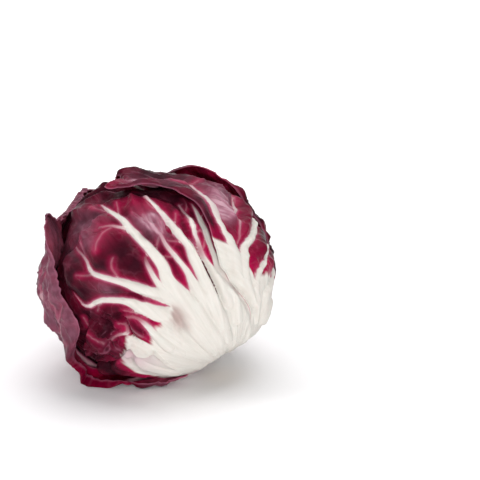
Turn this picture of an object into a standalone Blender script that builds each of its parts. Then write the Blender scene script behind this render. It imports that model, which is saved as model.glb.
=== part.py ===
"""A head of red radicchio, lying on its side as it settles on a table.

A white stem stub tapers up into the head as a cone and carries the heart, a tight bud. Leaves grow
from the stem's flank and wrap round the heart: cupped inner leaves, one inside the next, and broad
outer leaves that lie over each other like cloths, so that a leaf dips wherever another covers it.
Each leaf is a thin solid of its own.

Directions from the head's middle are given as on a globe whose pole is the stem: polar is the angle
from the stem's cut end, and azimuth goes round the stem, with 0 facing the front, which is -Y.
"""

import math
from dataclasses import dataclass

import bmesh
import bpy
import numpy as np
from mathutils import Vector

# Driving sizes, in metres.
HEAD_WIDTH = 0.116  # of the ball, left to right, before margins that stand out
HEAD_DEPTH = 0.110
HEAD_HEIGHT = 0.103  # before it settles
SETTLE = 0.0028  # how far its weight presses the underside flat
OUTER_LEAF_THICKNESS = 0.0010
OUTER_LEAF_GAP = 0.0013  # between an outer leaf and the next one in
INNER_LEAF_COUNT = 8  # they fill the room between the outer leaves and the heart
INNER_LEAF_GAP = 0.0008
STEM_CUT_RADIUS = 0.0100  # at the cut end
STEM_TOP_RADIUS = 0.0045  # where it carries the heart
STEM_STUB = 0.0006  # how far the cut end stands out of the ball
STEM_CHAMFER = 0.0008
STEM_GAP = 0.0012  # between the stem's flank and the foot of a leaf
HEART_RADIUS = 0.0165
HEART_GAP = 0.0006  # between the heart and the stem's top
HEART_FOLD_DEPTH = 0.0012  # of the pleats down the heart's flank
HEART_FOLDS = 5
HEART_TWIST = 4.0  # radians that the pleats wind from the middle to an end

# How the head lies, in degrees.
STEM_LEAN = 38.4  # of the stem's cut end, away from straight down
STEM_BEARING = -23.4  # of the cut end, round from +X
FRONT_RISE = 14.0  # azimuth 0 looks this far up from level

LEAF_MIDDLE = 85.0  # polar angle of the middle of a leaf
CLASP_ENDS = 45.0  # polar angle inside which a leaf's foot spreads to clasp the stem
CLASP_SHORT = 8.0  # a foot that didn't spread would end this far short of the stem's axis
INNER_HALF_WIDTH = 70.0
INNER_TO_TIP = 97.0
GOLDEN_ANGLE = 137.5  # a new leaf grows this far round the stem from the last
NARROWING_STARTS = 0.15  # share of the way from a leaf's middle to its foot
COVER_STARTS = 1.03  # a leaf holds down the one below fully to here, as a share of its own size
COVER_FADES = 1.29  # and not at all from here

OUTER_GRID = 14  # faces along each side of a leaf's grid
INNER_GRID = 9
STEM_SIDES = 28
HEART_SIDES = 20

WHITE_RIB = (0.84, 0.82, 0.74, 1.0)
RED_LEAF = (0.24, 0.004, 0.038, 1.0)


@dataclass
class Leaf:
    """Margin angles go round a leaf's outline: 0 is its right side, 90 its tip and 180 its left side,
    seen from outside with the tip up. Arcs are in degrees of the ball."""

    name: str
    azimuth: float
    half_width: float
    to_tip: float
    foot_narrowing: float = 0.58  # share of the half width lost at the foot
    outline: tuple = ()  # (margin angle, spread, share): bulges, or notches if negative
    lifts: tuple = ()  # (margin angle, spread, lift in metres, share of the leaf that stays down)


# Outermost first: each leaf lies over those that come after it.
OUTER_LEAVES = (
    Leaf("resting_leaf", -112, 70, 92, 0.35,
         outline=((38, 10, 0.12), (-20, 18, -0.30)),
         lifts=((-28, 20, 0.0085, 0.30), (47, 10, 0.0065, 0.78), (95, 26, 0.0026, 0.72))),
    Leaf("back_leaf", 155, 64, 84, 0.50,
         outline=((150, 13, 0.10),),
         lifts=((147, 13, 0.0065, 0.72),)),
    Leaf("right_leaf", 90, 56, 82, 0.50,
         outline=((134, 10, 0.20), (167, 17, -0.10)),
         lifts=((152, 24, 0.0055, 0.66), (120, 14, 0.0055, 0.68))),
    Leaf("front_leaf", 0, 62, 70, 0.50,
         outline=((218, 13, -0.40), (185, 20, 0.08)),
         lifts=((214, 10, 0.0016, 0.75),)),
    Leaf("lower_left_leaf", -62, 52, 74, 0.50),
    Leaf("upper_right_leaf", 48, 58, 97),
    Leaf("lower_back_leaf", -165, 58, 99),
    Leaf("lower_right_leaf", 122, 56, 80, 0.45),
)


def smooth_step(low, high, value):
    share = np.clip((value - low) / (high - low), 0.0, 1.0)
    return share * share * (3.0 - 2.0 * share)


def head_axes():
    """Unit vectors: towards the stem's cut end, towards azimuth 0 and towards azimuth 90."""
    lean, bearing, rise = (math.radians(a) for a in (STEM_LEAN, STEM_BEARING, FRONT_RISE))
    stem = np.array([
        math.sin(lean) * math.cos(bearing),
        math.sin(lean) * math.sin(bearing),
        -math.cos(lean),
    ])
    front = np.array([0.0, -math.cos(rise), math.sin(rise)])
    front -= stem * (front @ stem)
    front /= np.linalg.norm(front)
    return stem, front, np.cross(front, stem)


STEM_WAY, FRONT_WAY, SIDE_WAY = head_axes()
HALF_SIZE = np.array([HEAD_WIDTH, HEAD_DEPTH, HEAD_HEIGHT]) / 2
BALL_RADIUS = HEAD_DEPTH / 2  # the ball is worked out as a true one, then stretched to HALF_SIZE
STRETCH = HALF_SIZE / BALL_RADIUS
FLOOR_DROP = HALF_SIZE[2] - SETTLE  # from the head's middle to the table
OUTER_PITCH = OUTER_LEAF_THICKNESS + OUTER_LEAF_GAP
TO_FOOT = LEAF_MIDDLE - CLASP_SHORT


def way(polar, azimuth):
    """Unit vector in that direction from the head's middle, angles in degrees."""
    polar, azimuth = math.radians(polar), math.radians(azimuth)
    around = math.cos(azimuth) * FRONT_WAY + math.sin(azimuth) * SIDE_WAY
    return math.cos(polar) * STEM_WAY + math.sin(polar) * around


def stem_radius(distance):
    """The stem's radius at a distance from the head's middle, measured along its axis."""
    top = HEART_RADIUS + HEART_GAP
    share = (distance - top) / (BALL_RADIUS + STEM_STUB - top)
    return STEM_TOP_RADIUS + share * (STEM_CUT_RADIUS - STEM_TOP_RADIUS)


def leaf_frame(leaf):
    """Unit vectors at the middle of a leaf: outwards, to its right and towards its tip."""
    middle = way(LEAF_MIDDLE, leaf.azimuth)
    tip_way = way(LEAF_MIDDLE + 90.0, leaf.azimuth)
    return middle, np.cross(tip_way, middle), tip_way


def clasp(radius):
    """(polar angle that the stem's axis spreads to, slope) for feet that meet the stem's flank."""
    foot = math.degrees(math.asin((stem_radius(radius) + STEM_GAP) / radius))
    start = (foot - CLASP_SHORT) / (1.0 - CLASP_SHORT / CLASP_ENDS)
    return start, 1.0 - start / CLASP_ENDS


def at_polar(directions, new_polar):
    """directions, each turned about the head's middle to the polar angle new_polar gives for its own."""
    towards_stem = directions @ STEM_WAY
    polar = np.degrees(np.arccos(np.clip(towards_stem, -1.0, 1.0)))
    around = directions - towards_stem[:, None] * STEM_WAY
    around /= np.maximum(np.linalg.norm(around, axis=1), 1e-9)[:, None]
    turned = np.radians(np.where(polar < CLASP_ENDS, new_polar(polar), polar))
    return np.cos(turned)[:, None] * STEM_WAY + np.sin(turned)[:, None] * around


def narrowed(leaf, along):
    """Share of its half width that a leaf keeps at a place along it, from -1 at the foot to 1."""
    return 1.0 - leaf.foot_narrowing * smooth_step(NARROWING_STARTS, 1.0, -along)


def bumps(rows, angle):
    """The sum of the outline's bulges and notches at a margin angle, in degrees."""
    total = np.zeros_like(angle)
    for centre, spread, size in rows:
        off = (angle - centre + 180.0) % 360.0 - 180.0
        total += size * np.exp(-((off / spread) ** 2))
    return total


def leaf_place(leaf, directions, radius):
    """(share of the way from a leaf's middle to its margin, margin angle) for each direction."""
    middle, right, tip_way = leaf_frame(leaf)
    start, slope = clasp(radius)
    directions = at_polar(directions, lambda polar: np.maximum(polar - start, 0.0) / slope)
    arc = np.degrees(np.arccos(np.clip(directions @ middle, -1.0, 1.0)))
    x, y = directions @ right, directions @ tip_way
    flat = np.maximum(np.hypot(x, y), 1e-9)
    x, y = arc * x / flat, arc * y / flat
    along = y / np.where(y > 0, leaf.to_tip, TO_FOOT)
    across = x / (leaf.half_width * narrowed(leaf, along))
    angle = np.degrees(np.arctan2(along, across))
    return np.hypot(across, along) / (1.0 + bumps(leaf.outline, angle)), angle


def depth_under(leaves, directions):
    """How far the leaves that cover each direction push the surface in."""
    depth = np.zeros(len(directions))
    for leaf in leaves:
        share, _ = leaf_place(leaf, directions, BALL_RADIUS)
        depth += OUTER_PITCH * (1.0 - smooth_step(COVER_STARTS, COVER_FADES, share))
    return depth


def grid_directions(leaf, flat, radius):
    """Directions, shares and margin angles for grid points, each coordinate from -1 to 1."""
    u, v = flat[:, 0], flat[:, 1]
    across, along = u * np.sqrt(1.0 - v * v / 2), v * np.sqrt(1.0 - u * u / 2)
    share, angle = np.hypot(across, along), np.degrees(np.arctan2(along, across))
    grown = 1.0 + bumps(leaf.outline, angle) * share
    across, along = across * grown, along * grown
    x = across * leaf.half_width * narrowed(leaf, along)
    y = along * np.where(along > 0, leaf.to_tip, TO_FOOT)
    arc = np.radians(np.hypot(x, y))
    turn = np.arctan2(y, x)
    middle, right, tip_way = leaf_frame(leaf)
    directions = (
        np.cos(arc)[:, None] * middle
        + (np.sin(arc) * np.cos(turn))[:, None] * right
        + (np.sin(arc) * np.sin(turn))[:, None] * tip_way
    )
    start, slope = clasp(radius)
    return at_polar(directions, lambda polar: start + polar * slope), share, angle


def lift_at(leaf, share, angle):
    """How far a leaf's margin stands out from the ball."""
    lift = np.zeros_like(share)
    for centre, spread, height, stays_down in leaf.lifts:
        off = (angle - centre + 180.0) % 360.0 - 180.0
        lift += height * np.exp(-((off / spread) ** 2)) * smooth_step(stays_down, 1.05, share)
    return lift


def on_table(directions, radius):
    """radius, held back wherever it would pass the table."""
    drop = np.maximum(-directions[:, 2] * STRETCH[2], 1e-6)
    return np.minimum(radius, FLOOR_DROP / drop)


def leaf_object(leaf, stem_meets_at, radius_at, grid, thickness):
    """A square grid laid onto the ball at the radius that radius_at gives, thickened inwards."""
    bm = bmesh.new()
    bmesh.ops.create_grid(bm, x_segments=grid, y_segments=grid, size=1.0)
    flat = np.array([v.co[:2] for v in bm.verts])
    directions, share, angle = grid_directions(leaf, flat, stem_meets_at)
    places = directions * radius_at(directions, share, angle)[:, None]
    for vertex, place in zip(bm.verts, places):
        vertex.co = Vector(place)
    mesh = bpy.data.meshes.new(leaf.name)
    bm.to_mesh(mesh)
    bm.free()
    made = bpy.data.objects.new(leaf.name, mesh)
    shell = made.modifiers.new("Thickness", "SOLIDIFY")
    shell.thickness = thickness
    shell.offset = -1.0
    return made


def outer_leaf(leaf, over):
    def radius_at(directions, share, angle):
        free = on_table(directions, BALL_RADIUS + lift_at(leaf, share, angle))
        return free - depth_under(over, directions)

    return leaf_object(leaf, BALL_RADIUS, radius_at, OUTER_GRID, OUTER_LEAF_THICKNESS)


def room_inside():
    """Radius of the largest ball that fits inside every outer leaf."""
    around = np.array([
        way(polar, azimuth) for polar in range(0, 181, 6) for azimuth in range(0, 360, 8)
    ])
    room = on_table(around, np.full(len(around), BALL_RADIUS)) - depth_under(OUTER_LEAVES, around)
    return room.min() - OUTER_LEAF_GAP


def inner_leaf(number, radius, thickness):
    leaf = Leaf(
        f"inner_leaf_{number + 1}",
        azimuth=number * GOLDEN_ANGLE,
        half_width=INNER_HALF_WIDTH,
        to_tip=INNER_TO_TIP,
    )

    def radius_at(directions, share, angle):
        return np.full(len(directions), radius)

    return leaf_object(leaf, radius, radius_at, INNER_GRID, thickness)


def inner_leaves():
    """Cupped leaves, one inside the next, from the outer leaves in to the heart."""
    room = room_inside()
    pitch = (room - HEART_RADIUS) / INNER_LEAF_COUNT
    return [inner_leaf(n, room - n * pitch, pitch - INNER_LEAF_GAP) for n in range(INNER_LEAF_COUNT)]


def stem():
    """A cone turned about the stem's axis, with its cut end just outside the ball."""
    top, cut = HEART_RADIUS + HEART_GAP, BALL_RADIUS + STEM_STUB
    profile = [
        (0.0, -top),
        (STEM_TOP_RADIUS, -top),
        (stem_radius(cut - STEM_CHAMFER), -(cut - STEM_CHAMFER)),
        (STEM_CUT_RADIUS - STEM_CHAMFER, -cut),
        (0.0, -cut),
    ]
    mesh = bpy.data.meshes.new("stem")
    edges = [(i, i + 1) for i in range(len(profile) - 1)]
    mesh.from_pydata([(x, 0.0, z) for x, z in profile], edges, [])
    turned = bpy.data.objects.new("stem", mesh)
    turned.rotation_euler = Vector(-STEM_WAY).to_track_quat("Z", "Y").to_euler()
    screw = turned.modifiers.new("Turn", "SCREW")
    screw.steps = screw.render_steps = STEM_SIDES
    screw.use_merge_vertices = True
    screw.merge_threshold = 0.0001
    return turned


def heart():
    """A bud with pleats that wind down its flank."""
    bm = bmesh.new()
    bmesh.ops.create_uvsphere(bm, u_segments=HEART_SIDES, v_segments=HEART_SIDES // 2, radius=1.0)
    for vertex in bm.verts:
        azimuth = math.atan2(vertex.co.y, vertex.co.x)
        flank = 1.0 - vertex.co.z**2
        wound = HEART_FOLDS * azimuth + HEART_TWIST * vertex.co.z
        fold = HEART_FOLD_DEPTH * flank * (0.5 - 0.5 * math.cos(wound))
        place = vertex.co.x * FRONT_WAY + vertex.co.y * SIDE_WAY - vertex.co.z * STEM_WAY
        vertex.co = Vector(place * (HEART_RADIUS - fold))
    mesh = bpy.data.meshes.new("heart")
    bm.to_mesh(mesh)
    bm.free()
    return bpy.data.objects.new("heart", mesh)


def material(name, colour, roughness):
    made = bpy.data.materials.new(name)
    made.use_nodes = True
    shader = made.node_tree.nodes["Principled BSDF"]
    shader.inputs["Base Color"].default_value = colour
    shader.inputs["Roughness"].default_value = roughness
    return made


def settle(pieces, head):
    """Puts the middle of the object's footprint at the origin and its underside on the table."""
    bpy.context.view_layer.update()
    graph = bpy.context.evaluated_depsgraph_get()
    corners = []
    for piece in pieces:
        seen = piece.evaluated_get(graph)
        mesh = seen.to_mesh()
        corners += [seen.matrix_world @ v.co for v in mesh.vertices]
        seen.to_mesh_clear()
    low = [min(c[k] for c in corners) for k in range(3)]
    high = [max(c[k] for c in corners) for k in range(3)]
    head.location = (-(low[0] + high[0]) / 2, -(low[1] + high[1]) / 2, FLOOR_DROP)


def main():
    for old in list(bpy.data.objects):
        bpy.data.objects.remove(old)
    collection = bpy.data.collections.new("radicchio_head")
    bpy.context.scene.collection.children.link(collection)
    head = bpy.data.objects.new("head_middle", None)
    head.scale = STRETCH
    collection.objects.link(head)

    leaf_red = material("leaf_red", RED_LEAF, 0.38)
    rib_white = material("rib_white", WHITE_RIB, 0.45)
    pieces = [outer_leaf(leaf, OUTER_LEAVES[:n]) for n, leaf in enumerate(OUTER_LEAVES)]
    pieces += inner_leaves()
    pieces.append(heart())
    for piece in pieces:
        piece.data.materials.append(leaf_red)
    pieces.append(stem())
    pieces[-1].data.materials.append(rib_white)
    for piece in pieces:
        collection.objects.link(piece)
        piece.parent = head
        if piece.data.polygons:
            piece.data.shade_smooth()
    settle(pieces, head)


main()
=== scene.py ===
"""Looks of a head of radicchio: each leaf again, fine enough to carry its ribs, puckers and frilled
margin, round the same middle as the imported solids.

Shapes are worked out in millimetres on a true ball, which is then stretched to the head's width,
depth and height. Directions are given as on a globe whose pole is the stem: polar is the angle from
the stem's cut end, and azimuth goes round the stem, with 0 facing the front, which is -Y. A leaf
also has a plane of its own, the ball unrolled about the leaf's middle, with x to the leaf's right
and y towards its tip.
"""

import itertools
import math
from dataclasses import dataclass

import bmesh
import bpy
import numpy as np
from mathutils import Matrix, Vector

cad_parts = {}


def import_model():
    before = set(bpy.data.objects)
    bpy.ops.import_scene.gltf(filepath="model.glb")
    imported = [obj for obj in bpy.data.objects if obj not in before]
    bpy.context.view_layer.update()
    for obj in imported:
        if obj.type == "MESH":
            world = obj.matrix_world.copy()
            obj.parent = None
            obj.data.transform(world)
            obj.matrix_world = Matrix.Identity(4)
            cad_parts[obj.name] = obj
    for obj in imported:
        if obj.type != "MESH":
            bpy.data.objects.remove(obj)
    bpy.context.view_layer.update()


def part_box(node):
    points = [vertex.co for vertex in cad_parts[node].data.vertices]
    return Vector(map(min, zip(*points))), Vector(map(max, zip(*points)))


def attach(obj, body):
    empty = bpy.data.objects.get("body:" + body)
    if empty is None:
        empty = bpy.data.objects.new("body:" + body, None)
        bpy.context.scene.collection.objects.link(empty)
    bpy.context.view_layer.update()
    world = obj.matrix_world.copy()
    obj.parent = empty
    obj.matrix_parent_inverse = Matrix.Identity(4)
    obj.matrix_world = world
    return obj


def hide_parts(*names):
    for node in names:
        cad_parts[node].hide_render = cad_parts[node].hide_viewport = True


# The head, as its solids have it, in millimetres and degrees.
HEAD_SIZE = np.array([116.0, 110.0, 103.0])
SETTLE = 2.8  # how much of the head's underside rests flat on the table
STEM_LEAN = 38.4
STEM_BEARING = -23.4
FRONT_RISE = 14.0
LEAF_MIDDLE = 85.0
CLASP_ENDS = 45.0  # the polar angle up to which leaves make room for the stem
CLASP_SHORT = 8.0  # how far short of the stem's axis a leaf's plane ends
NARROWING_STARTS = 0.15  # share of the way from a leaf's middle to its foot
FOOT_POLAR = 11.7  # where an outer leaf's foot meets the stem
BALL = HEAD_SIZE[1] / 2
STRETCH = HEAD_SIZE / HEAD_SIZE[1]
FLOOR_DROP = HEAD_SIZE[2] / 2 - SETTLE
PER_DEGREE = math.radians(1.0) * BALL  # mm of arc on the ball

# Where the leaves below a margin stop and start to be pushed in, as shares of the way to it.
COVER_STARTS, COVER_FADES = 1.02, 1.11
STEM_CUT_RADIUS = 9.3
STEM_TOP_RADIUS = 4.5
HEART_RADIUS = 16.5
INNER_COUNT = 8
GOLDEN_ANGLE = 137.5
INNER_RADIUS = 38.8  # of the outermost inner leaf
INNER_GAP = 0.8
INNER_SHARE = 0.7  # of the thickness of its solid that an inner leaf has
STEM_TOP = 17.1  # how far out from the middle the stem starts
STEM_LENGTH = 38.5
WHITE_TO = 46.0  # the polar angle that the white foot of an inner leaf reaches
BRANCHES_FROM = -2.0  # mm above a leaf's middle
LONG_WAVE, SHORT_WAVE, SIDE_WAVE = 9.5, 3.9, 5.3  # of the frill, mm from crest to crest
LOWEST_RELIEF = -3.0
SKIN = 0.0010  # an outer leaf's thickness, in metres

# Slow swells and dents of the whole head, which every leaf follows: polar, azimuth, radius, height.
SWELLS = (
    (106, -5, 14, 2.6), (94, -20, 7, 1), (81, -37, 8, -4), (68, -54, 11, -2.6), (70, -19, 4.5, 2.8),
    (57, -25, 5, 1.6), (66, -1, 4, -1.2), (71, 32.5, 3, 1), (115, 30, 8, -1.2), (60, 24, 16, 1.2),
    (77, 56, 10, 0.8), (120, -50, 12, -1), (140, 15, 14, -1.5), (135, -62, 10, -5), (142, -56, 9, -3.6),
    (140, 57, 11, -4.4), (166, -42, 12, -3.2), (157, 62, 7, 3.6), (146, 76, 6, -2),
)


@dataclass
class Leaf:
    """Margin angles go round a leaf's outline: 0 is its right side, 90 its tip and 180 its left side,
    seen from outside with the tip up. Half width and tip reach are in degrees of the ball."""

    name: str
    azimuth: float
    half_width: float
    to_tip: float
    foot_narrowing: float = 0.58
    outline: tuple = ()  # (margin angle, spread, share): bulges, or notches if negative
    lifts: tuple = ()  # (margin angle, spread, lift, share of the leaf that stays down)
    curls: tuple = ()  # (margin angle, spread, degrees rolled back, width of the rolled band)
    tucks: tuple = ()  # (margin angle, spread, depth) where the margin presses into what it covers
    frill: float = 0.7
    free: tuple = ()  # (margin angle, spread, extra frill) where the margin stands clear
    ribs: tuple = ()  # as FRONT_RIBS; a leaf with none gets a plain fan
    side_ribs: int = 5
    white: tuple = ((0, 46),)  # (azimuth, polar) that the white foot reaches
    creases: tuple = ()  # (depth, half width, rows of (polar, azimuth))
    crumples: tuple = ()  # (polar, azimuth, radius, height) of patches with sharp folds
    bloom_sheen_patches: tuple = ()  # (polar, azimuth, radius, share) of patches of waxy bloom and painted sheen, dull mauve, turning to a pale painted highlight where strong; on a white foot they paint pale mauve shade
    fulls: tuple = ()  # the same, of full red patches
    painted_shades: tuple = ()  # the same, of painted shade: near-black patches in hollows and under overhangs, taupe in dips of the white foot
    bloom_sheen: float = 0.04  # how much waxy bloom and painted sheen dull the leaf all over
    pitch: float = 2.3  # how far it pushes in what it covers
    spacing: float = 1.0  # between its grid's points
    seed: int = 1


# Rows of (polar, azimuth, half width) along each rib, from its foot on.
FRONT_RIBS = (
    ((35, 3, 3), (55, 2, 3.4), (66, -2, 3.7), (72, -7, 3.7), (79.8, -11.4, 2.7), (86, -16, 1.6),
     (92, -25, 1.1), (93, -33, 0.8), (96, -36, 0.6), (103, -37, 0.4)),
    ((35, 8, 3), (59, 7.5, 3.6), (70.3, 4.4, 3.3), (77.6, 0.4, 2.9), (83.5, -3.9, 2.6), (91.3, -8.3, 1.8),
     (96, -12, 1.2), (101, -16, 1), (105, -19, 0.85), (111, -20, 0.75), (116, -21, 0.55), (126, -26, 0.4)),
    ((35, 12, 3), (48, 10, 4), (62, 9, 4.1), (72, 8, 3.8), (78.3, 7.2, 3.2), (84, 7.2, 2.7),
     (91, 9.2, 2.4), (103, 9, 2), (115, 8, 1.6), (123, 8, 1.25), (134, 5, 0.9), (143, 3, 0.5)),
    ((74, 4, 1.6), (79.3, 2.4, 1.4), (83.4, 2.5, 1.2), (88.7, 2.9, 0.9), (94.9, 4, 0.6), (98, 5, 0.4)),
    ((116, 7, 0.8), (122, 1, 0.5), (126, -6, 0.4)),
    ((71.5, -26.5, 0.75), (72.3, -31, 0.55), (73, -35, 0.4), (73.5, -42, 0.25)),
    ((71.5, -26, 0.65), (73.3, -24.3, 0.45), (76, -23.4, 0.3), (77.8, -27, 0.25)),
    ((72, -7, 1.2), (75.5, -11.5, 0.8), (77.6, -14, 0.6), (79.5, -16.5, 0.4), (81.5, -19, 0.3)),
    ((52, -17, 2.2), (62, -16, 1.8), (67, -14.9, 1.2), (70, -14.7, 0.9), (73, -14.9, 0.6),
     (75.5, -15.6, 0.45), (77.3, -17.5, 0.4), (78.4, -20.5, 0.3)),
    ((77, -21, 0.25), (73.2, -21.1, 0.3), (69.8, -20.2, 0.3), (66.5, -20.4, 0.25)),
    ((90, -43.5, 0.25), (84.7, -45.3, 0.3), (79, -45.6, 0.3), (73, -44, 0.25)),
    ((44, 17, 2.4), (62, 17, 2.6), (73, 16, 2.3), (80, 17, 1.5), (85, 17, 1.1), (92, 17, 0.85),
     (99, 17, 0.7), (106, 18, 0.55), (120, 19, 0.4)),
    ((34, 19, 2.6), (55, 20, 3.2), (70, 22, 3.2), (79, 23, 2.9), (85, 24, 2.6), (92, 26, 2.3),
     (97, 26, 2.1), (104, 26, 1.8), (110, 27, 1.5), (118, 28, 1.1), (131, 29, 0.5)),
    ((55, 28, 2.2), (70, 28.5, 2.2), (78, 27.7, 1.5), (82, 27.7, 0.9), (88, 28.9, 0.6), (93, 31.2, 0.8),
     (100, 34, 1), (106, 37, 0.75), (115, 40, 0.45)),
    ((43, 31, 2.6), (57, 33, 2.9), (69, 34, 2.7), (76, 35, 2.4), (82, 34.5, 1.9), (88, 36.2, 1.8),
     (94, 38.7, 1.8), (100, 41.3, 1.5), (105, 43.5, 1), (112, 47, 0.5)),
)

RIGHT_RIBS = (
    ((29, 30, 2.4), (43, 34, 3), (58, 37, 3.2), (67, 40, 3.2), (73, 43, 3), (80, 45, 2.9), (86, 45.5, 3),
     (89.5, 45, 2.6), (94, 46.5, 2.6), (101, 49, 2.7), (108, 51.4, 1.8), (113, 54, 0.9), (122, 58, 0.65),
     (135, 64, 0.4)),
    ((58, 42, 1.8), (66, 43, 1.4), (73, 45, 0.9), (79, 48, 0.5), (85, 54, 0.45), (90, 59, 0.6),
     (95, 65, 0.75), (99, 71, 0.75), (106, 79, 0.5), (119, 91, 0.4)),
    ((33, 43, 2.8), (52, 45, 3), (62, 44, 2.9), (71, 47, 2.8), (77, 52, 2.4), (80, 60, 2), (84, 72, 1.8),
     (89, 87, 1.5), (96, 97, 1.2), (103, 105, 0.9), (112, 111, 0.6), (124, 116, 0.4)),
    ((33, 54, 2.6), (52, 51, 2.6), (59, 53, 2.1), (64, 59, 1.7), (68, 69, 1.3), (74, 86, 1), (82, 99, 0.8),
     (92, 109, 0.6), (104, 118, 0.4)),
    ((31, 74, 2.8), (47, 63, 2.6), (53, 74, 2.3), (58, 87, 1.9), (62, 98, 1.6), (68, 109, 1.2),
     (76, 119, 0.9), (88, 128, 0.5)),
    ((30, 100, 2.8), (40, 100, 2.6), (46, 112, 2), (54, 124, 1.4), (64, 133, 0.9), (74, 138, 0.5)),
)
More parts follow.
